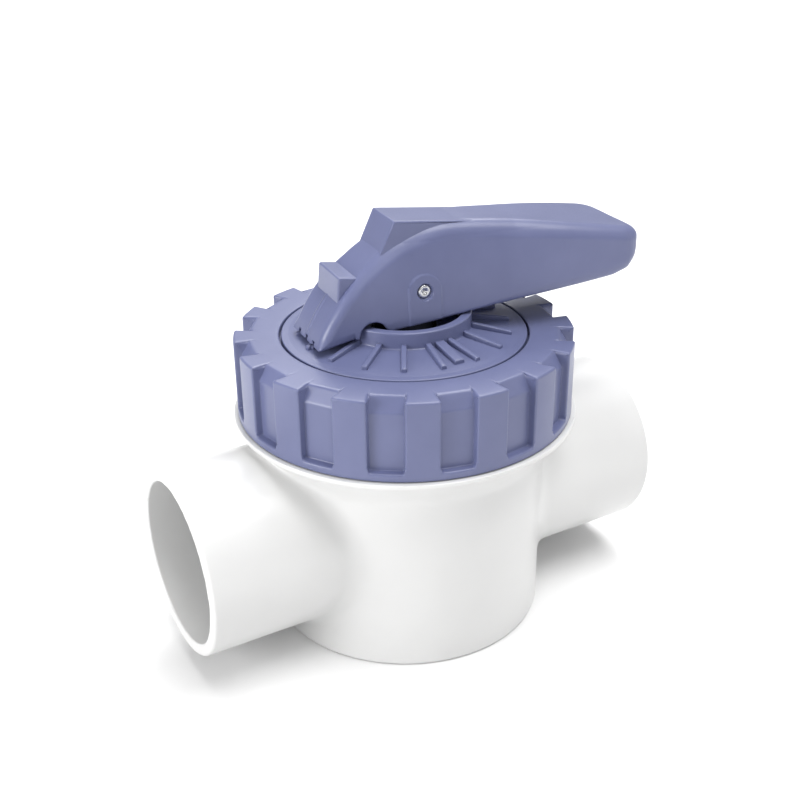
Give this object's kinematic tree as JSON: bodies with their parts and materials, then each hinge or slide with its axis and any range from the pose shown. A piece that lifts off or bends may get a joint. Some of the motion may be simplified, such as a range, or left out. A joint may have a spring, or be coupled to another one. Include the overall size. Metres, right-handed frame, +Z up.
{
  "type": "three way diverter valve",
  "caption": "Tee shaped plastic diverter valve with pipe sockets, a lock ring with grip pockets, a ribbed cover and a sprung lift and turn lever.",
  "frame": {"origin": "centre of the round chamber's flat underside", "axes": "+Z up along the stem, +X along the straight pair of ports towards the port under the lever's tail, +Y out of the branch port"},
  "size_m": [0.199, 0.1512, 0.1649],
  "materials": {
    "white_pvc": "smooth moulded, soft gloss",
    "blue_abs": "satin moulded, blue grey",
    "stainless": "turned stainless steel",
    "rubber": "black moulded rubber",
    "acetal": "natural white, slippery",
    "dark_plastic": "dark glass filled plastic"
  },
  "bodies": {
    "valve": {"valve_body": "white_pvc", "pivot_bush": "acetal", "cover": "blue_abs", "cover_o_ring": "rubber", "stem_bush": "acetal", "dust_wiper": "rubber"},
    "slip_ring": {"slip_washer": "acetal"},
    "lock_ring": {"lock_ring": "blue_abs"},
    "turning_washer": {"upper_spring_washer": "stainless"},
    "rotor": {"stem": "dark_plastic", "rotor_spring": "stainless", "lower_spring_washer": "stainless", "upper_stem_o_ring": "rubber", "lower_stem_o_ring": "rubber", "stem_screws": "stainless", "diverter": "dark_plastic", "diverter_seal": "rubber", "seal_clamp": "dark_plastic", "clamp_screws": "stainless"},
    "lever": {"handle": "blue_abs", "pivot_pin": "stainless", "pin_spacers": "acetal"}
  },
  "joints": [
    {"name": "ring_rise", "type": "slide", "parent": "valve", "child": "slip_ring", "axis": [0, 0, 1], "range_m": [0, 0.0025]},
    {"name": "ring_turn", "type": "hinge", "parent": "slip_ring", "child": "lock_ring", "pos_m": [0, 0, 0.1], "axis": [0, 0, 1], "range_deg": [0, 180]},
    {"name": "handle_turn", "type": "hinge", "parent": "valve", "child": "turning_washer", "pos_m": [0, 0, 0.1], "axis": [0, 0, 1], "continuous": true},
    {"name": "rotor_lift", "type": "slide", "parent": "turning_washer", "child": "rotor", "axis": [0, 0, 1], "range_m": [0, 0.0025], "stiffness_N_per_m": 50, "springref_m": -0.008, "deforming": ["rotor_spring"]},
    {"name": "handle_tilt", "type": "hinge", "parent": "rotor", "child": "lever", "pos_m": [0.00169, -0.00018, 0.138], "axis": [0.1045, 0.9945, 0], "range_deg": [0, 10]}
  ],
  "couplings": [
    {"joint": "ring_rise", "follows": "ring_turn", "m_per_rad": 0.000795},
    {"joint": "rotor_lift", "follows": "handle_tilt", "m_per_rad": 0.0143}
  ]
}
